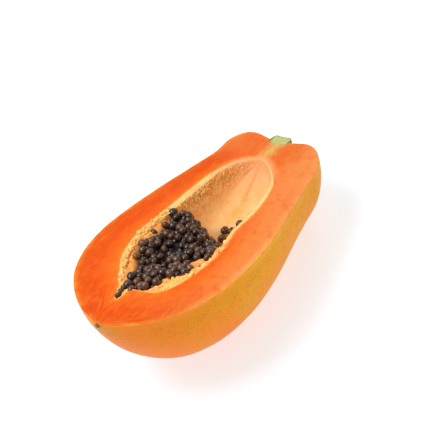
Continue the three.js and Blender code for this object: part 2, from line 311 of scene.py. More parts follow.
def sampled(points):
    """A curve's points in a search tree that finds the nearest one."""
    tree = kdtree.KDTree(EDGE_SAMPLES)
    for i in range(EDGE_SAMPLES):
        x, y = along_curve(points, i / (EDGE_SAMPLES - 1))
        tree.insert((x, y, 0), i)
    tree.balance()
    return tree


def distance(trees, spot):
    """How far a spot is from the nearest of the sampled curves."""
    return min(tree.find(spot)[2] for tree in trees)


skin_edges = [sampled(SKIN_LEFT), sampled(SKIN_RIGHT)]
hollow_edges = [sampled(HOLLOW_LEFT), sampled(HOLLOW_RIGHT)]
measures = {name: [] for name in ("outside", "inside", "under_skin", "off_hollow")}
for v in mesh.vertices:
    p = v.co
    on_wall = p.z < BELOW_CUT and any(group.weight > 0.5 for group in v.groups)
    on_skin = p.z < BELOW_CUT and not on_wall
    seen_from_above = Vector((p.x, p.y, 0))
    measures["outside"].append(min(-p.z / EDGE_SOFTNESS, 1) if on_skin else 0)
    measures["inside"].append(1 if on_wall else 0)
    measures["under_skin"].append(0 if on_skin else distance(skin_edges, seen_from_above))
    measures["off_hollow"].append(-p.z if on_wall else distance(hollow_edges, seen_from_above))
places = [c for v in mesh.vertices for c in v.co]
for name, values in measures.items():
    mesh.attributes.new(name, "FLOAT", "POINT").data.foreach_set("value", values)
mesh.attributes.new("place", "FLOAT_VECTOR", "POINT").data.foreach_set("vector", places)

# The knife wavers a little, so the cut face isn't quite flat.
for v in mesh.vertices:
    if v.co.z > BELOW_CUT:
        v.co.z -= KNIFE_WAVER + KNIFE_WAVER * noise.noise(v.co / WAVER_REACH)
mesh.transform(LAID)

# It rests on a small flat spot, where its weight presses the soft skin level.
for v in mesh.vertices:
    v.co.z = max(v.co.z, 0)
bpy.ops.object.shade_smooth_by_angle(angle=SHARPEST_SHADED)


def srgb(red, green, blue):
    """A colour as a screen shows it, 0 to 255, turned into the linear one that Blender mixes."""
    def linear(c):
        return c / 12.92 if c <= 0.04045 else ((c + 0.055) / 1.055) ** 2.4
    return (linear(red / 255), linear(green / 255), linear(blue / 255), 1)


def new_finish(name):
    finish = bpy.data.materials.new(name)
    finish.use_nodes = True
    return finish, finish.node_tree, finish.node_tree.nodes["Principled BSDF"]


def put(tree, kind, sockets=None, **settings):
    """A node with its settings and its sockets filled: by a value, or by another node's output."""
    made = tree.nodes.new(kind)
    for key, value in settings.items():
        setattr(made, key, value)
    for key, value in (sockets or {}).items():
        if isinstance(value, bpy.types.NodeSocket):
            tree.links.new(value, made.inputs[key])
        else:
            made.inputs[key].default_value = value
    return made


def ramp(tree, factor, stops):
    made = put(tree, "ShaderNodeValToRGB", {"Fac": factor})
    elements = made.color_ramp.elements
    while len(elements) < len(stops):
        elements.new(0.5)
    for element, (position, colour) in zip(elements, stops):
        element.position = position
        element.color = colour
    return made.outputs["Color"]


def blend(tree, factor, first, second, how="MIX"):
    made = put(tree, "ShaderNodeMix", {0: factor}, data_type="RGBA", blend_type=how)
    for slot_number, value in ((6, first), (7, second)):
        if isinstance(value, bpy.types.NodeSocket):
            tree.links.new(value, made.inputs[slot_number])
        else:
            made.inputs[slot_number].default_value = value
    return made.outputs[2]


def spread(tree, value, low, high, to_low=0.0, to_high=1.0):
    """A value that goes from one number to another while the given one goes from low to high."""
    made = put(tree, "ShaderNodeMapRange", {"Value": value, "From Min": low, "From Max": high,
                                            "To Min": to_low, "To Max": to_high})
    return made.outputs["Result"]


def sums(tree, how, first, second):
    """One sum of two values, such as ADD or MULTIPLY."""
    return put(tree, "ShaderNodeMath", {0: first, 1: second}, operation=how).outputs[0]


def grain(tree, vector, scale, detail, roughness, distortion=0.0):
    return put(tree, "ShaderNodeTexNoise", {"Vector": vector, "Scale": scale, "Detail": detail,
                                            "Roughness": roughness,
                                            "Distortion": distortion}).outputs["Fac"]


def attribute(tree, name, output="Fac"):
    return put(tree, "ShaderNodeAttribute", attribute_name=name).outputs[output]


def stretched(tree, vector, scale, rotation=(0, 0, 0)):
    """A pattern's coordinates, stretched along the axes that are scaled least."""
    made = put(tree, "ShaderNodeMapping", {"Vector": vector, "Rotation": rotation, "Scale": scale})
    return made.outputs["Vector"]


def emboss(tree, shader, height, strength, depth):
    """Raises the fine grain of a surface by a pattern; the depth is in metres."""
    relief = put(tree, "ShaderNodeBump", {"Height": height, "Strength": strength, "Distance": depth})
    tree.links.new(relief.outputs["Normal"], shader.inputs["Normal"])


# Colours of the flesh, the lining of the hollow and the skin. The red of the flesh is held back
# a little, so that the brightest spots keep their colour.
RED_KEPT = (0.86, 1, 1, 1)
FLESH_AND_SHEEN_BY_STALK = srgb(254, 142, 76)
RED_FIBRE = srgb(244, 68, 2)
PALE_FIBRE = srgb(255, 136, 52)
PALE_CLOUD = srgb(254, 120, 42)
RED_RAY = srgb(226, 58, 2)
PALE_RAY = srgb(255, 140, 56)
RED_PATCH = srgb(242, 78, 14)
BESIDE_STRANDS = srgb(244, 100, 26)
STRAND_BY_HOLLOW = srgb(255, 168, 88)
STRAND_BY_STALK = srgb(220, 192, 104)
PALE_RIM = srgb(255, 186, 104)
SOFT_END = srgb(255, 176, 116)
LINING_BY_SEEDS = srgb(255, 194, 96)
LINING_BY_STALK = srgb(255, 184, 132)
PIT = srgb(250, 168, 84)
LINING_FIBRE = srgb(252, 166, 84)
TORN_PULP = srgb(255, 208, 122)
FURROW = srgb(238, 134, 40)
SKIN_BY_BLOSSOM = srgb(250, 126, 42)
OLIVE = srgb(228, 172, 30)
SKIN_MOTTLE = srgb(255, 130, 36)
SKIN_BY_STALK = srgb(228, 140, 20)
SMUDGE = srgb(212, 142, 22)
GREEN_TIP = srgb(170, 156, 52)
SPECK = srgb(160, 84, 24)

finish, tree, shader = new_finish("ripe papaya")
place = attribute(tree, "place", "Vector")
outside_here = attribute(tree, "outside")
inside_here = attribute(tree, "inside")
skin_mm = attribute(tree, "under_skin")
hollow_mm = attribute(tree, "off_hollow")
parts = put(tree, "ShaderNodeSeparateXYZ", {0: place})
x_mm, y_mm, z_mm = (parts.outputs[axis] for axis in "XYZ")
clouds = grain(tree, place, scale=0.045, detail=4, roughness=0.55)
mottle = grain(tree, place, scale=0.16, detail=5, roughness=0.6, distortion=0.4)
fine = grain(tree, place, scale=0.9, detail=4, roughness=0.6)
drawn = stretched(tree, place, (0.3, 1, 1), (0, 0, 0.1))
fibres = grain(tree, drawn, scale=0.42, detail=5, roughness=0.62, distortion=0.6)

# Flesh, from the skin to the hollow. The left side is red-orange nearly all through. The right
# side is paler and yellower towards the skin, and red-orange only next to the hollow: its paler,
# pinker tone is partly painted sheen, with a narrow band of painted highlight near the skin.
wobble = sums(tree, "MULTIPLY", sums(tree, "SUBTRACT", mottle, 0.5), 0.22)
whole_mm = sums(tree, "ADD", sums(tree, "ADD", skin_mm, hollow_mm), 0.01)
share = sums(tree, "ADD", sums(tree, "DIVIDE", skin_mm, whole_mm), wobble)
left_flesh = ramp(tree, share, [
    (0.0, srgb(248, 152, 60)), (0.05, srgb(240, 112, 26)), (0.13, srgb(232, 82, 2)),
    (0.5, srgb(236, 74, 0)), (0.8, srgb(248, 98, 8)), (1.0, srgb(254, 122, 32)),
])
# The pink stop near the skin is a painted highlight; the paler right side is partly painted sheen.
right_flesh_and_sheen = ramp(tree, share, [
    (0.0, srgb(252, 170, 70)), (0.07, srgb(252, 160, 78)), (0.12, srgb(252, 154, 98)),
    (0.19, srgb(250, 136, 62)), (0.58, srgb(248, 122, 48)), (0.78, srgb(250, 106, 26)),
    (0.93, srgb(246, 88, 6)), (1.0, srgb(252, 120, 34)),
])
# Paler and pinker towards the stalk on the right: partly painted sheen.
right_flesh_and_sheen = blend(tree, spread(tree, x_mm, 84, 140, 0, 0.7), right_flesh_and_sheen, FLESH_AND_SHEEN_BY_STALK)
to_right = sums(tree, "MULTIPLY", spread(tree, y_mm, 0, -26), spread(tree, x_mm, 12, 66))
to_right = sums(tree, "MAXIMUM", to_right, spread(tree, x_mm, 166, 184, 0, 0.5))
flesh = blend(tree, to_right, left_flesh, right_flesh_and_sheen)
flesh = blend(tree, spread(tree, fibres, 0.5, 0.75, 0, 0.4), flesh, RED_FIBRE)
flesh = blend(tree, spread(tree, fibres, 0.5, 0.28, 0, 0.35), flesh, PALE_FIBRE)
flesh = blend(tree, spread(tree, clouds, 0.5, 0.7, 0, 0.3), flesh, PALE_CLOUD)

# Reddish streaks run together at the blossom tip.
radius_mm = put(tree, "ShaderNodeVectorMath", {0: place}, operation="LENGTH").outputs["Value"]
round_tip = put(tree, "ShaderNodeMath", {0: y_mm, 1: x_mm}, operation="ARCTAN2").outputs[0]
rays = put(tree, "ShaderNodeCombineXYZ", {"X": sums(tree, "MULTIPLY", round_tip, 7.0),
                                          "Y": sums(tree, "MULTIPLY", radius_mm, 0.05)})
streaks = grain(tree, rays.outputs[0], scale=1.6, detail=5, roughness=0.6, distortion=0.5)
tip = spread(tree, radius_mm, 62, 14)
dark_rays = sums(tree, "MULTIPLY", spread(tree, streaks, 0.5, 0.64, 0, 0.75), tip)
flesh = blend(tree, dark_rays, flesh, RED_RAY)
light_rays = sums(tree, "MULTIPLY", spread(tree, streaks, 0.46, 0.34, 0, 0.4), tip)
flesh = blend(tree, light_rays, flesh, PALE_RAY)
patches = grain(tree, place, scale=0.085, detail=3, roughness=0.55, distortion=1.2)
flesh = blend(tree, spread(tree, patches, 0.52, 0.7, 0, 0.45), flesh, RED_PATCH)

# Pale strands run from the stalk, which stands a little to the left, down to the hollow.
STALK_SIDE = 1.2
off_axis = sums(tree, "SUBTRACT", y_mm, STALK_SIDE)
from_axis = put(tree, "ShaderNodeMath", {0: off_axis}, operation="ABSOLUTE").outputs[0]
frayed = sums(tree, "ADD", from_axis, sums(tree, "MULTIPLY", fibres, 9))
fan = spread(tree, frayed, 5.5, 12.5, 1, 0)
fan = sums(tree, "MULTIPLY", fan, spread(tree, x_mm, 160, 176))
fan = sums(tree, "MULTIPLY", fan, spread(tree, fibres, 0.35, 0.62, 1, 0.6))
beside = sums(tree, "MULTIPLY", spread(tree, from_axis, 7, 12), spread(tree, from_axis, 30, 18))
beside = sums(tree, "MULTIPLY", beside, spread(tree, x_mm, 166, 182))
beside = sums(tree, "MULTIPLY", beside, spread(tree, fibres, 0.4, 0.62, 0.25, 0.85))
flesh = blend(tree, beside, flesh, BESIDE_STRANDS)
strand = ramp(tree, spread(tree, x_mm, 172, 196), [
    (0.0, STRAND_BY_HOLLOW), (1.0, STRAND_BY_STALK),
])
flesh = blend(tree, fan, flesh, strand)
rim = sums(tree, "ADD", hollow_mm, sums(tree, "MULTIPLY", fine, 1.2))
flesh = blend(tree, spread(tree, rim, 0.4, 1.5, 0.8, 0), flesh, PALE_RIM)
soft_end = sums(tree, "MULTIPLY", spread(tree, rim, 0.5, 5.5, 0.75, 0), spread(tree, x_mm, 156, 170))
flesh = blend(tree, soft_end, flesh, SOFT_END)
flesh = blend(tree, 1.0, flesh, RED_KEPT, "MULTIPLY")

# Lining of the hollow: pale pulp, yellower round the seeds, pinker at the stalk end, deep
# orange in its pits.
lining = ramp(tree, spread(tree, mottle, 0.3, 0.7), [
    (0.0, srgb(254, 184, 108)), (0.4, srgb(255, 200, 126)), (1.0, srgb(255, 216, 150)),
])
round_seeds = spread(tree, x_mm, 118, 96)
lining = blend(tree, sums(tree, "MULTIPLY", round_seeds, 0.7), lining, LINING_BY_SEEDS)
lining = blend(tree, spread(tree, x_mm, 150, 170, 0, 0.8), lining, LINING_BY_STALK)
near_rim = spread(tree, z_mm, -30, -6, 0.1, 0.55)
pits = sums(tree, "MULTIPLY", spread(tree, fine, 0.52, 0.68), near_rim)
lining = blend(tree, pits, lining, PIT)
lining = blend(tree, spread(tree, fibres, 0.52, 0.7, 0, 0.35), lining, LINING_FIBRE)

# Furrows of torn pulp run down the far wall, from under the rim.
combed = stretched(tree, place, (1, 0.3, 0.3), (0, -0.55, 0))
comb = put(tree, "ShaderNodeTexWave", {"Vector": combed, "Scale": 0.13, "Distortion": 4.6,
                                       "Detail": 3.0, "Detail Scale": 2.2})
gaps = spread(tree, comb.outputs["Fac"], 0.55, 0.2)
torn = sums(tree, "MULTIPLY", spread(tree, z_mm, -1.2, -2.2), spread(tree, z_mm, -12, -6))
torn = sums(tree, "MULTIPLY", torn, spread(tree, x_mm, 112, 122))
torn = sums(tree, "MULTIPLY", torn, spread(tree, x_mm, 170, 160))
torn = sums(tree, "MULTIPLY", torn, spread(tree, y_mm, 6, 14))
rough_gaps = sums(tree, "MAXIMUM", gaps, spread(tree, fine, 0.5, 0.62, 0, 0.7))
furrow = sums(tree, "MULTIPLY", torn, rough_gaps)
lining = blend(tree, sums(tree, "MULTIPLY", torn, 0.6), lining, TORN_PULP)
lining = blend(tree, sums(tree, "MULTIPLY", furrow, 0.5), lining, FURROW)

# Skin: ochre yellow by the cut, more orange below and at the blossom end, with olive clouds and
# fine dark specks.
from_cut = sums(tree, "ADD", z_mm, sums(tree, "MULTIPLY", sums(tree, "SUBTRACT", mottle, 0.5), 16))
skin_colour = ramp(tree, spread(tree, from_cut, -62, 0), [
    (0.0, srgb(255, 122, 30)), (0.4, srgb(255, 136, 36)), (0.72, srgb(255, 160, 30)),
    (0.94, srgb(255, 166, 34)), (1.0, srgb(255, 184, 66)),
])
blossom_end = spread(tree, x_mm, 80, 5, 0, 0.8)
skin_colour = blend(tree, blossom_end, skin_colour, SKIN_BY_BLOSSOM)
below_rim = spread(tree, z_mm, -2, -8)
off_tip = sums(tree, "MULTIPLY", below_rim, spread(tree, x_mm, 14, 60))
olive = sums(tree, "MULTIPLY", spread(tree, clouds, 0.44, 0.62, 0, 0.45), off_tip)
skin_colour = blend(tree, olive, skin_colour, OLIVE)
skin_colour = blend(tree, spread(tree, mottle, 0.56, 0.74, 0, 0.45), skin_colour, SKIN_MOTTLE)
skin_colour = blend(tree, spread(tree, x_mm, 110, 190, 0, 0.45), skin_colour, SKIN_BY_STALK)
blots = grain(tree, place, scale=0.33, detail=6, roughness=0.7)
blotches = spread(tree, blots, 0.52, 0.68, 0, 0.55)
upper_side = spread(tree, from_cut, -46, -18, 0.25, 1)
smudges = sums(tree, "MULTIPLY", sums(tree, "MULTIPLY", blotches, below_rim), upper_side)
skin_colour = blend(tree, smudges, skin_colour, SMUDGE)
tip_green = sums(tree, "MULTIPLY", spread(tree, x_mm, 5, 0.5, 0, 0.6), spread(tree, mottle, 0.3, 0.6))
skin_colour = blend(tree, tip_green, skin_colour, GREEN_TIP)
specks = put(tree, "ShaderNodeTexVoronoi", {"Vector": place, "Scale": 1.0, "Randomness": 1.0})
spots = spread(tree, specks.outputs["Distance"], 0.14, 0.34, 0.85, 0)
spots = sums(tree, "MULTIPLY", spots, spread(tree, mottle, 0.4, 0.56))
spots = sums(tree, "MULTIPLY", sums(tree, "MULTIPLY", spots, below_rim), upper_side)
skin_colour = blend(tree, spots, skin_colour, SPECK)

colour = blend(tree, inside_here, flesh, lining)
colour = blend(tree, outside_here, colour, skin_colour)
tree.links.new(colour, shader.inputs["Base Color"])
wet = spread(tree, fine, 0.3, 0.8, 0.36, 0.52)
rough = put(tree, "ShaderNodeMix", {0: outside_here, 2: wet, 3: 0.5}, data_type="FLOAT").outputs[0]
tree.links.new(rough, shader.inputs["Roughness"])
shader.inputs["Specular IOR Level"].default_value = 0.12
shader.inputs["Specular Tint"].default_value = (1, 0.76, 0.45, 1)
shader.inputs["Subsurface Weight"].default_value = 0.05
shader.inputs["Subsurface Radius"].default_value = (1.0, 0.4, 0.15)
shader.inputs["Subsurface Scale"].default_value = 0.003
ripples = sums(tree, "ADD", sums(tree, "MULTIPLY", fine, 0.6), sums(tree, "MULTIPLY", mottle, 1.2))
furrow_inside = sums(tree, "MULTIPLY", furrow, inside_here)
ripples = sums(tree, "SUBTRACT", ripples, sums(tree, "MULTIPLY", furrow_inside, 1.6))
emboss(tree, shader, ripples, strength=0.4, depth=0.0007)
fruit.data.materials.append(finish)
fruit.vertex_groups.clear()
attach(fruit, "root")
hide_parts("fruit_half")

# Stalk stub. The short woody stump of the fruit stalk, halved by the knife: green bark round a
# paler, fibrous middle. A disc is extruded along the fruit's axis and bisected with the cut.

STALK_RADIUS = 8.3
STALK_LENGTH = 5.2
STALK_ROOT = 2.6
STALK_AT = Vector((195.8, STALK_SIDE, 0))
STALK_SIDES = 60
STALK_FOOT = 0.95
STALK_RINGS = ((1.3, 1.03), (1.3, 1.02), (1.4, 0.97), (1.5, 0.95), (1.4, 0.9), (0.7, 0.9))
BARK = 0.9
BARK_PROUD = 0.35
WOOD = 1.6
PITH_SUNK = -0.5
STALK_LOBES = 5
STALK_LOBE_HEIGHT = 0.05
STALK_UNEVENNESS = 0.012
OTHER_LAYER = Vector((9, 0, 0))
STALK_CUT = -0.1
SHADED_END = srgb(128, 116, 66)
GREEN_BARK = srgb(106, 118, 48)
bpy.ops.object.select_all(action="DESELECT")
bpy.ops.mesh.primitive_circle_add(vertices=STALK_SIDES, radius=STALK_RADIUS * STALK_FOOT,
                                  fill_type="NGON", rotation=(0, math.pi / 2, 0))
stub = bpy.context.object
stub.name = "stalk_stub_cut"
bpy.ops.object.transform_apply(location=False, rotation=True, scale=False)
bpy.ops.object.mode_set(mode="EDIT")
bpy.ops.mesh.select_all(action="SELECT")
for step, size in STALK_RINGS:
    bpy.ops.mesh.extrude_region_move(TRANSFORM_OT_translate={"value": (step, 0, 0)})
    bpy.ops.transform.resize(value=(1, size, size))
bpy.ops.mesh.inset(thickness=BARK)
bpy.ops.transform.translate(value=(BARK_PROUD, 0, 0))
bpy.ops.mesh.inset(thickness=WOOD)
bpy.ops.transform.translate(value=(PITH_SUNK, 0, 0))
bpy.ops.mesh.select_all(action="SELECT")
bpy.ops.mesh.normals_make_consistent(inside=False)
bpy.ops.object.mode_set(mode="OBJECT")
for v in stub.data.vertices:
    angle = math.atan2(v.co.z, v.co.y)
    lobe = STALK_LOBE_HEIGHT * math.cos(STALK_LOBES * angle)
    v.co.y *= 1 + lobe + STALK_UNEVENNESS * noise.noise(v.co)
    v.co.z *= 1 + lobe + STALK_UNEVENNESS * noise.noise(v.co + OTHER_LAYER)
    v.co += STALK_AT - Vector((STALK_ROOT, 0, 0))
bpy.ops.object.mode_set(mode="EDIT")
bpy.ops.mesh.select_all(action="SELECT")
bpy.ops.mesh.bisect(plane_co=(0, 0, STALK_CUT), plane_no=(0, 0, 1), clear_outer=True,
                    use_fill=True)
bpy.ops.mesh.select_all(action="SELECT")
bpy.ops.mesh.quads_convert_to_tris()
bpy.ops.object.mode_set(mode="OBJECT")
stub_place = stub.data.attributes.new("place", "FLOAT_VECTOR", "POINT")
for v in stub.data.vertices:
    stub_place.data[v.index].vector = v.co - STALK_AT
stub.data.transform(LAID)
bpy.ops.object.shade_smooth_by_angle(angle=math.radians(40))

finish, tree, shader = new_finish("green stalk")
place = attribute(tree, "place", "Vector")
drawn = stretched(tree, place, (0.25, 1.6, 1.6))
strands = grain(tree, drawn, scale=1.2, detail=5, roughness=0.6)
colour = ramp(tree, spread(tree, strands, 0.3, 0.7), [
    (0.0, srgb(150, 160, 92)), (0.5, srgb(188, 192, 120)), (1.0, srgb(214, 208, 142)),
])
out_x = put(tree, "ShaderNodeSeparateXYZ", {0: place}).outputs["X"]
# The far end of the stub is darker: painted shade.
colour = blend(tree, spread(tree, out_x, 3.6, STALK_LENGTH, 0, 0.75), colour, SHADED_END)
from_middle = put(tree, "ShaderNodeVectorMath", {0: place, 1: (0, 1, 1)}, operation="MULTIPLY")
from_middle = put(tree, "ShaderNodeVectorMath", {0: from_middle.outputs[0]}, operation="LENGTH")
bark = spread(tree, from_middle.outputs["Value"], 6.0, 7.4, 0, 0.9)
colour = blend(tree, bark, colour, GREEN_BARK)
tree.links.new(colour, shader.inputs["Base Color"])
shader.inputs["Roughness"].default_value = 0.6
emboss(tree, shader, strands, strength=0.6, depth=0.0005)
stub.data.materials.append(finish)
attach(stub, "root")
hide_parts("stalk_stub")

# Blossom scar. The withered end of the flower, a dry brown crumb on the tip of the skin. A small
# ball is flattened and crumpled.

SCAR_RADIUS = 2.0
SCAR_POINTS = 5
POINT_HEIGHT = 0.16
CRUMPLE_HEIGHT = 0.5
CRUMPLE_GRAIN = 0.9
SCAR_SHAPE = (0.62, 1.15, 0.95)
SCAR_SIZE = 0.75
SCAR_AT = Vector((0.3, 0.2, -1.3))
bpy.ops.object.select_all(action="DESELECT")
bpy.ops.mesh.primitive_ico_sphere_add(subdivisions=4, radius=SCAR_RADIUS)
scar = bpy.context.object
scar.name = "blossom_scar"
for v in scar.data.vertices:
    angle = math.atan2(v.co.z, v.co.y)
    star = 1 + POINT_HEIGHT * math.cos(SCAR_POINTS * angle)
    star += CRUMPLE_HEIGHT * noise.noise(v.co * CRUMPLE_GRAIN)
    flat, wide, high = SCAR_SHAPE
    v.co = Vector((v.co.x * flat, v.co.y * wide * star, v.co.z * high * star))
    v.co = v.co * SCAR_SIZE + SCAR_AT
scar.data.transform(LAID)
bpy.ops.object.shade_smooth()
finish, tree, shader = new_finish("withered blossom")
coords = put(tree, "ShaderNodeTexCoord").outputs["Object"]
crumple = grain(tree, coords, scale=900, detail=5, roughness=0.6)
tree.links.new(ramp(tree, spread(tree, crumple, 0.3, 0.7), [
    (0.0, srgb(70, 52, 28)), (0.6, srgb(122, 98, 44)), (1.0, srgb(168, 134, 60)),
]), shader.inputs["Base Color"])
shader.inputs["Roughness"].default_value = 0.8
emboss(tree, shader, crumple, strength=0.8, depth=0.0005)
scar.data.materials.append(finish)
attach(scar, "root")

# Seeds. Round black seeds, each in a wet, wrinkled jelly coat, heaped at the blossom end where
# they grew, with a few stuck to the wall. One seed is modelled and copied to each place.

HEAP_LEFT = [
    (25, 5), (33, 8), (41, 11.5), (50, 15.5), (58, 19.5), (68, 28), (80, 31), (90, 28),
    (98, 28.5), (108, 29.5), (115, 25),
]
HEAP_RIGHT = [
    (25, 5), (33, 4.5), (38.5, -9), (44, -12.5), (55, -15), (58, -23.5), (64, -26),
    (71, -20.5), (78, -26.5), (84, -28), (90, -28.5),
]
SEED_RADIUS = 2.55
SEED_SPREAD = 0.7
SEED_SHAPE = (1.12, 0.94, 0.94)
SEED_POINT = 0.05
SEED_DENT = 0.05
DENTS_PER_SEED = 1.7
MM_ALONG = 200
HALVINGS = 24

# The top of the heap lies a little under the cut, lower on the left and dipped in the middle,
# and falls off steeply towards the stalk and more gently beside the heap.
TOP = -1.4
LEFT_SINKS = 2.4
SINKS_FROM = 34
SINKS_TO = 60
DIP = 5
DIP_MIDDLE = 84
DIP_REACH = 24
FRONT = 103.5
FRONT_SLANT = 0.5
FRONT_SLOPE = 2.6
SIDE_SLOPE = 1.2

# The throws: each layer has how deep it lies and how far apart its seeds are.
LAYERS = ((0, 4.9), (3.2, 4.4))
THROWS = 2600
THROWN_X = (26, 92)
THROWN_Y = (-31, 63)
LOOSENESS = 3
RAGGED = 5
RAGGED_SIZE = 4.5
EDGE_GAP = 0.9
LEFT_GAP = 0.5
LAST_X = 110
LAST_SLANT = 0.4
TIP_SEEDS = ((27.2, 5.4, -0.6), (31.2, 6.6, -0.9), (35.2, 7.4, -0.8))
TIP_SIZE = 0.9
TIP_TURNS = (1.2, 2.1)
FIRST_DRAW = 20261
DRAW_FACTOR = 16807
DRAW_CYCLE = 2147483647

# Tones: spread evenly by the golden section, darker in the middle of the heap, where the seeds lie
# deep among the others: painted shade. The same tone for every seed beyond its front.
GOLDEN = 0.618034
HEAP_FRONT = 116
STRAY_TINT = 0.6
PAINTED_SHADE = 0.9
SHADE_X = (84, 17)
SHADE_Y = (4, 13)
STRAYS = 5
STRAY_RADIUS = 2.95


def draws_from(first):
    """Even draws between 0 and 1, by multiplying again and again: the same ones each time."""
    state = first
    while True:
        state = state * DRAW_FACTOR % DRAW_CYCLE
        yield state / DRAW_CYCLE


def last_before(is_before):
    """The last place from 0 to 1 that is still before what is looked for, by halving."""
    low, high = 0.0, 1.0
    for _ in range(HALVINGS):
        middle = (low + high) / 2
        if is_before(middle):
            low = middle
        else:
            high = middle
    return low


def edge_at(points, x):
    """How far to the side an edge is at x, held one millimetre short of its last point."""
    x = min(x, points[-1][0] - 1)
    return along_curve(points, last_before(lambda along: along_curve(points, along)[0] < x))[1]


heap_left = [edge_at(HEAP_LEFT, x) for x in range(MM_ALONG + 2)]
heap_right = [edge_at(HEAP_RIGHT, x) for x in range(MM_ALONG + 2)]


def heap_edge(edges, x):
    """The edge between the whole millimetres at which it is worked out."""
    low = min(max(int(x), 0), MM_ALONG)
    return edges[low] + (edges[low + 1] - edges[low]) * (x - low)


def heap_edges(x):
    """Where the left and the right edge of the heap are, that far along the fruit."""
    return heap_edge(heap_left, x), heap_edge(heap_right, x)


def share_across(y, left, right):
    """How far across the heap a spot is: 0 at the right edge and 1 at the left."""
    return min(max((y - right) / max(left - right, 1), 0), 1)


def heap_top(x, y):
    left, right = heap_edges(x)
    across = share_across(y, left, right)
    level = TOP - LEFT_SINKS * across * smooth(x, SINKS_FROM, SINKS_TO)
    dip = DIP * math.sin(math.pi * across) * bump(x, DIP_MIDDLE, DIP_REACH)
    front = max(x - FRONT - FRONT_SLANT * y, 0)
    beside = max(y - left - 1, right - 1 - y, 0)
    return level - dip - FRONT_SLOPE * front - SIDE_SLOPE * beside


def seed_places():
    """Seeds thrown on the heap one by one; one that would sit inside another rolls off it."""
    draw = draws_from(FIRST_DRAW)
    places = [(Vector(spot), SEED_RADIUS * TIP_SIZE, TIP_TURNS) for spot in TIP_SEEDS]
    for sink, apart in LAYERS:
        layer = []
        for _ in range(THROWS):
            x = THROWN_X[0] + THROWN_X[1] * next(draw)
            y = THROWN_Y[0] + THROWN_Y[1] * next(draw)
            z = heap_top(x, y) - sink + (next(draw) - 0.5) * LOOSENESS
            radius = SEED_RADIUS + SEED_SPREAD * next(draw)
            turns = (next(draw) * math.pi, next(draw) * math.pi)
            spot = Vector((x, y, z))
            ragged = RAGGED * noise.noise(Vector((x, y, 0)) / RAGGED_SIZE) + EDGE_GAP
            left, right = heap_edges(x)
            if not right + ragged < y < left - ragged - LEFT_GAP or x > LAST_X + LAST_SLANT * y:
                continue
            if all((spot - other[0]).length > apart for other in layer):
                layer.append((spot, radius, turns))
        places += layer
    return places


bpy.ops.object.select_all(action="DESELECT")
bpy.ops.mesh.primitive_uv_sphere_add(segments=10, ring_count=6, radius=1)
one_seed = bpy.context.object
for v in one_seed.data.vertices:
    v.co.x *= SEED_SHAPE[0] + SEED_POINT * v.co.x
    v.co.y *= SEED_SHAPE[1]
    v.co.z *= SEED_SHAPE[2]
    v.co *= 1 + SEED_DENT * noise.noise(v.co * DENTS_PER_SEED)
bpy.ops.object.shade_smooth()


def copy_at(original, shape):
    """A copy with its own mesh, moved and shaped in the fruit and laid down with it."""
    copy = original.copy()
    copy.data = original.data.copy()
    bpy.context.collection.objects.link(copy)
    copy.data.transform(LAID @ shape)
    return copy


def joined(name, copies):
    """All the copies made one piece, under its name."""
    bpy.ops.object.select_all(action="DESELECT")
    for copy in copies:
        copy.select_set(True)
    bpy.context.view_layer.objects.active = copies[0]
    if len(copies) > 1:
        bpy.ops.object.join()
    copies[0].name = name
    return copies[0]


def seed_copies(name, places):
    """Copies of the seed, each turned, sized and toned for its place, with painted shade in the
    middle of the heap, joined into one piece.
    """
    copies = []
    for i, (spot, radius, turns) in enumerate(places):
        turned = Matrix.Rotation(turns[1], 4, "X") @ Matrix.Rotation(turns[0], 4, "Z")
        copy = copy_at(one_seed, Matrix.Translation(spot) @ turned @ Matrix.Scale(radius, 4))
        # Seeds in the middle of the heap get a darker tone: painted shade.
        middle = bump(spot.x, *SHADE_X) * bump(spot.y, *SHADE_Y)
        heap_tone_and_shade = (i * GOLDEN) % 1 * (1 - PAINTED_SHADE * middle)
        tone_and_shade = copy.data.attributes.new("tone_and_shade", "FLOAT", "POINT")
        for datum in tone_and_shade.data:
            datum.value = heap_tone_and_shade if spot.x < HEAP_FRONT else STRAY_TINT
        copies.append(copy)
    return joined(name, copies)


heap = seed_copies("seeds_in_the_heap", seed_places())

SEED_SHEEN = srgb(132, 92, 74)
seed_finish, tree, shader = new_finish("wet black seed")
coords = put(tree, "ShaderNodeTexCoord").outputs["Object"]
tone_and_shade_here = attribute(tree, "tone_and_shade")
wrinkles = grain(tree, coords, scale=620, detail=4, roughness=0.6, distortion=0.8)
# The tone turns near black where it carries painted shade, in the middle of the heap.
colour = ramp(tree, tone_and_shade_here, [
    (0.0, srgb(10, 3, 0)), (0.3, srgb(34, 14, 6)), (0.7, srgb(66, 34, 16)),
    (1.0, srgb(118, 70, 34)),
])
# Pale purple-brown patches on the wrinkles: painted sheen of the wet coat, weaker on dark and shaded
# seeds.
sheen_by_tone = spread(tree, tone_and_shade_here, 0.1, 0.5, 0.1, 0.75)
sheen = sums(tree, "MULTIPLY", spread(tree, wrinkles, 0.5, 0.66), sheen_by_tone)
colour = blend(tree, sheen, colour, SEED_SHEEN)
tree.links.new(colour, shader.inputs["Base Color"])
tree.links.new(spread(tree, wrinkles, 0.3, 0.7, 0.1, 0.26), shader.inputs["Roughness"])
shader.inputs["Specular IOR Level"].default_value = 0.55
shader.inputs["Specular Tint"].default_value = (1, 0.72, 0.54, 1)
shader.inputs["Coat Weight"].default_value = 0.6
shader.inputs["Coat Roughness"].default_value = 0.1
shader.inputs["Coat IOR"].default_value = 1.4
emboss(tree, shader, wrinkles, strength=0.6, depth=0.0008)
heap.data.materials.append(seed_finish)
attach(heap, "root")
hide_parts("seed_heap")

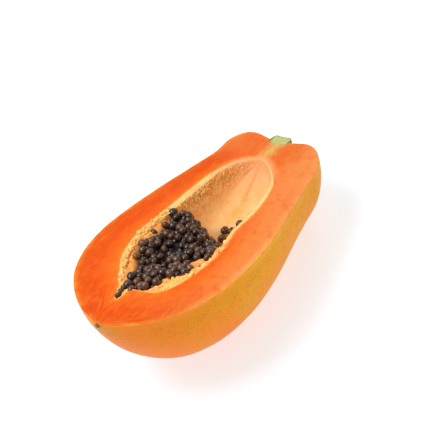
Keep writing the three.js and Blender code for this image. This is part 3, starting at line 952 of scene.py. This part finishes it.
for number in range(1, STRAYS + 1):
    node = f"stray_seed_{number}"
    low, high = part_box(node)
    middle = LAID.inverted() @ ((Vector(low) + Vector(high)) / 2)
    turns = (number - 1, 2 * number - 2)
    stray = seed_copies(f"stuck_seed_{number}", [(middle, STRAY_RADIUS, turns)])
    stray.data.materials.append(seed_finish)
    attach(stray, "root")
    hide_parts(node)
bpy.data.objects.remove(one_seed)

# Pulp of the heap. The wet orange threads and jelly that the seeds hang in. A ball is drawn out
# between the edges of the heap: its top lies just under the seeds, its foot in the flesh.

HEAP_START = 25.5
HEAP_END = 121
DEEPEST = -42
THINNEST_AT_FLOOR = 2
PULP_BESIDE = 5
PULP_STEPS = 96
PULP_RINGS = 110
END_ROUNDNESS = 6
UNDER_SEEDS = 0.5
MIDDLE_SINKS = 1.5
MIDDLE_REACH = 5
OUTER_SLOPE = 0.25
LEFT_RISES = 2.6
RISES_FROM = (30, 50)
RISES_UNTIL = (108, 96)
RISES_BESIDE = (6, -1)
LUMPY = 1.1
LUMPY_SIZE = 2.2
LUMPY_BESIDE = (-4, 0)
THINNEST = 8
THICKER = 34
THICKER_FROM = (28, 80)
PULP_FRONT = 106
FRONT_SHARE = 0.6
bpy.ops.object.select_all(action="DESELECT")
bpy.ops.mesh.primitive_uv_sphere_add(segments=PULP_STEPS, ring_count=PULP_RINGS, radius=1)
pulp = bpy.context.object
pulp.name = "pulp_round_the_seeds"
edge_mm = []
for v in pulp.data.vertices:
    along = math.acos(max(-1, min(1, -v.co.z))) / math.pi
    x = HEAP_START + (HEAP_END - HEAP_START) * along
    left, right = heap_edges(x)
    width = max(math.hypot(v.co.x, v.co.y), HAIR)
    narrow = min(math.sin(math.pi * along) * END_ROUNDNESS, 1)
    y = (left + right) / 2 + ((left - right) / 2 + PULP_BESIDE) * narrow * v.co.x / width
    inside = min(max(y, right), left)
    inwards = min(left - y, y - right)
    top = heap_top(x, inside) - UNDER_SEEDS - MIDDLE_SINKS * smooth(inwards, 0, MIDDLE_REACH)
    top -= OUTER_SLOPE * abs(y - inside)
    rise = LEFT_RISES * share_across(y, left, right) * smooth(x, *RISES_FROM)
    top += rise * smooth(inwards, *RISES_BESIDE) * smooth(x, *RISES_UNTIL)
    lumps = LUMPY * noise.noise(Vector((x, y, 0)) / LUMPY_SIZE)
    top += lumps * smooth(inwards, *LUMPY_BESIDE)
    top = max(top, DEEPEST)
    foot = top - THINNEST - THICKER * smooth(x, *THICKER_FROM) * narrow
    foot = max(foot, DEEPEST - THINNEST_AT_FLOOR)
    v.co = Vector((x, y, top if v.co.y < -HAIR * width else foot))
    edge_mm.append(min(inwards, (PULP_FRONT + LAST_SLANT * y - x) * FRONT_SHARE))
pulp.data.attributes.new("from_edge", "FLOAT", "POINT").data.foreach_set("value", edge_mm)
pulp.data.transform(LAID)
bpy.ops.object.mode_set(mode="EDIT")
bpy.ops.mesh.select_all(action="SELECT")
bpy.ops.mesh.normals_make_consistent(inside=False)
bpy.ops.object.mode_set(mode="OBJECT")
bpy.ops.object.shade_smooth()

SHADE_AMONG_SEEDS = srgb(38, 16, 10)
finish, tree, shader = new_finish("wet pulp")
coords = put(tree, "ShaderNodeTexCoord").outputs["Object"]
threads = grain(tree, coords, scale=330, detail=5, roughness=0.65, distortion=1.0)
colour = ramp(tree, spread(tree, threads, 0.3, 0.72), [
    (0.0, srgb(214, 110, 34)), (0.45, srgb(240, 156, 62)), (1.0, srgb(255, 200, 110)),
])
# Away from the heap's edges the pulp turns near black among the seeds: painted shade.
frayed = sums(tree, "ADD", attribute(tree, "from_edge"), sums(tree, "MULTIPLY", threads, 4))
colour = blend(tree, spread(tree, frayed, 3.5, 7), colour, SHADE_AMONG_SEEDS)
tree.links.new(colour, shader.inputs["Base Color"])
shader.inputs["Roughness"].default_value = 0.35
emboss(tree, shader, threads, strength=0.7, depth=0.001)
pulp.data.materials.append(finish)
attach(pulp, "root")

# Pulp pegs. Each seed hung on the wall by a short fleshy peg. Pegs are left in rows where seeds
# came away by the stalk, and ragged crumbs of pulp lie on the ledge round the heap. One lumpy
# ball is modelled and copied to each place, sunk into the wall.

# Rows of pegs and crumbs: from where to where along the fruit, how many, how far round the wall
# and with what spread in degrees, and for the pegs their size.
PEG_ROWS = ((118, 160, 30, (30, 3), (0.5, 0.5, 1.8)), (126, 169, 110, (37, 9), (0.65, 0.6, 0.6)))
CRUMBS = ((28, 112, 170, (16, 13)), (30, 96, 110, (164, 13)))
CRUMB_SHAPE = (1.7, 1.2, 0.7)
PEG_DRAW = FIRST_DRAW + 7
PEG_STRAYS = 0.7
PEG_LEAN = 0.5
SMALLEST_PEG = 0.7
PEG_GROWTH = 0.6
CRUMB_TURNS = 3
SMALLEST_CRUMB = 0.5
CRUMB_GROWTH = 0.7
PEG_DENT = 0.35
DENTS_PER_PEG = 2.3


def wall_spot(x, turn):
    """The point of the hollow's wall that far along the fruit and that far round."""
    def is_before(along):
        return hung(HOLLOW_LEFT, HOLLOW_RIGHT, along, turn, 0).x < x
    return hollow_point(last_before(is_before), turn)


def spread_turn(degrees, spread_degrees):
    """A place round the wall, drawn within a spread on both sides of the given one."""
    return math.radians(degrees + (next(draw) - 0.5) * 2 * spread_degrees)


bpy.ops.object.select_all(action="DESELECT")
bpy.ops.mesh.primitive_uv_sphere_add(segments=8, ring_count=5, radius=1)
one_peg = bpy.context.object
for v in one_peg.data.vertices:
    v.co *= 1 + PEG_DENT * noise.noise(v.co * DENTS_PER_PEG)
bpy.ops.object.shade_smooth()

draw = draws_from(PEG_DRAW)
pegs = []
for start, end, count, direction, size in PEG_ROWS:
    for i in range(count):
        x = start + (end - start) * (i + PEG_STRAYS * next(draw)) / count
        spot = wall_spot(x, spread_turn(*direction))
        lean = Matrix.Rotation(PEG_LEAN + PEG_LEAN * next(draw), 4, "Y")
        lean = lean @ Matrix.Rotation(-PEG_LEAN, 4, "X")
        grown = SMALLEST_PEG + PEG_GROWTH * next(draw)
        stretch = Matrix.Diagonal((size[0] * grown, size[1] * grown, size[2] * grown, 1))
        pegs.append(copy_at(one_peg, Matrix.Translation(spot) @ (lean @ stretch)))
for start, end, count, direction in CRUMBS:
    for i in range(count):
        x = start + (end - start) * (i + next(draw)) / count
        spot = wall_spot(x, spread_turn(*direction))
        lean = Matrix.Rotation(next(draw) * CRUMB_TURNS, 4, "Z")
        lean = lean @ Matrix.Rotation(next(draw) * CRUMB_TURNS, 4, "X")
        grown = SMALLEST_CRUMB + CRUMB_GROWTH * next(draw) ** 2
        stretch = Matrix.Diagonal([grown * side for side in CRUMB_SHAPE] + [1])
        pegs.append(copy_at(one_peg, Matrix.Translation(spot) @ (lean @ stretch)))
pegs_piece = joined("pegs_and_crumbs_of_pulp", pegs)
bpy.data.objects.remove(one_peg)
finish, tree, shader = new_finish("pale pulp")
coords = put(tree, "ShaderNodeTexCoord").outputs["Object"]
flecks = grain(tree, coords, scale=260, detail=4, roughness=0.6)
tree.links.new(ramp(tree, spread(tree, flecks, 0.32, 0.68), [
    (0.0, srgb(250, 160, 74)), (0.5, srgb(255, 196, 112)), (1.0, srgb(255, 216, 146)),
]), shader.inputs["Base Color"])
shader.inputs["Roughness"].default_value = 0.45
shader.inputs["Specular IOR Level"].default_value = 0.3
emboss(tree, shader, flecks, strength=0.4, depth=0.0004)
pegs_piece.data.materials.append(finish)
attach(pegs_piece, "root")

# Floor, lights and camera. A white floor, one broad soft light overhead, a weaker one beyond the
# stalk end, and a long lens held at the photograph's side, height and tilt.

FLOOR_SIZE = 6
CARD = (0.42, 0.5, 0.56, 1)
WHITE = (1, 1, 1, 1)
bpy.ops.object.select_all(action="DESELECT")
bpy.ops.mesh.primitive_plane_add(size=FLOOR_SIZE)
floor = bpy.context.object
floor.name = "floor"
finish, tree, shader = new_finish("white card")
shader.inputs["Base Color"].default_value = CARD
shader.inputs["Roughness"].default_value = 0.7
shader.inputs["Emission Color"].default_value = WHITE
shader.inputs["Emission Strength"].default_value = 0.64
floor.data.materials.append(finish)

world = bpy.data.worlds.new("white room")
bpy.context.scene.world = world
world.use_nodes = True
air = world.node_tree.nodes["Background"]
air.inputs["Color"].default_value = WHITE
air.inputs["Strength"].default_value = 0.5
bpy.context.scene.view_settings.view_transform = "Standard"


def soft_light(name, where, aim, size, power):
    lamp = bpy.data.lights.new(name, "AREA")
    lamp.size = size
    lamp.energy = power
    lamp_object = bpy.data.objects.new(name, lamp)
    lamp_object.location = where
    lamp_object.rotation_euler = (Vector(aim) - Vector(where)).to_track_quat("-Z", "Y").to_euler()
    bpy.context.collection.objects.link(lamp_object)


soft_light("key overhead", where=(-0.16, 0.2, 0.8), aim=(0.02, 0, 0.04), size=0.5, power=5.2)
soft_light("from the stalk end", where=(0.7, 0.1, 0.6), aim=(0, 0, 0.05), size=0.3, power=0.8)

# The eye and its two directions are given in the fruit's own frame, with the cut face level.
EYE = Vector((-595.68, -834.39, 715.11))
LOOK = Vector((0.5444, 0.6312, -0.5525))
PICTURE_RIGHT = Vector((0.592, -0.7557, -0.2801))
LENS = 164.03
SENSOR = 36
FARTHEST_SEEN = 20
turned = Matrix.Rotation(PITCH, 3, "Y")
back = -(turned @ LOOK).normalized()
across = (turned @ PICTURE_RIGHT).normalized()
up = back.cross(across).normalized()
across = up.cross(back)
camera_data = bpy.data.cameras.new("camera")
camera_data.lens = LENS
camera_data.sensor_width = SENSOR
camera_data.clip_end = FARTHEST_SEEN
camera = bpy.data.objects.new("camera", camera_data)
bpy.context.collection.objects.link(camera)
pose = Matrix((across, up, back)).transposed().to_4x4()
pose.translation = LAID @ EYE
camera.matrix_world = pose
bpy.context.scene.camera = camera
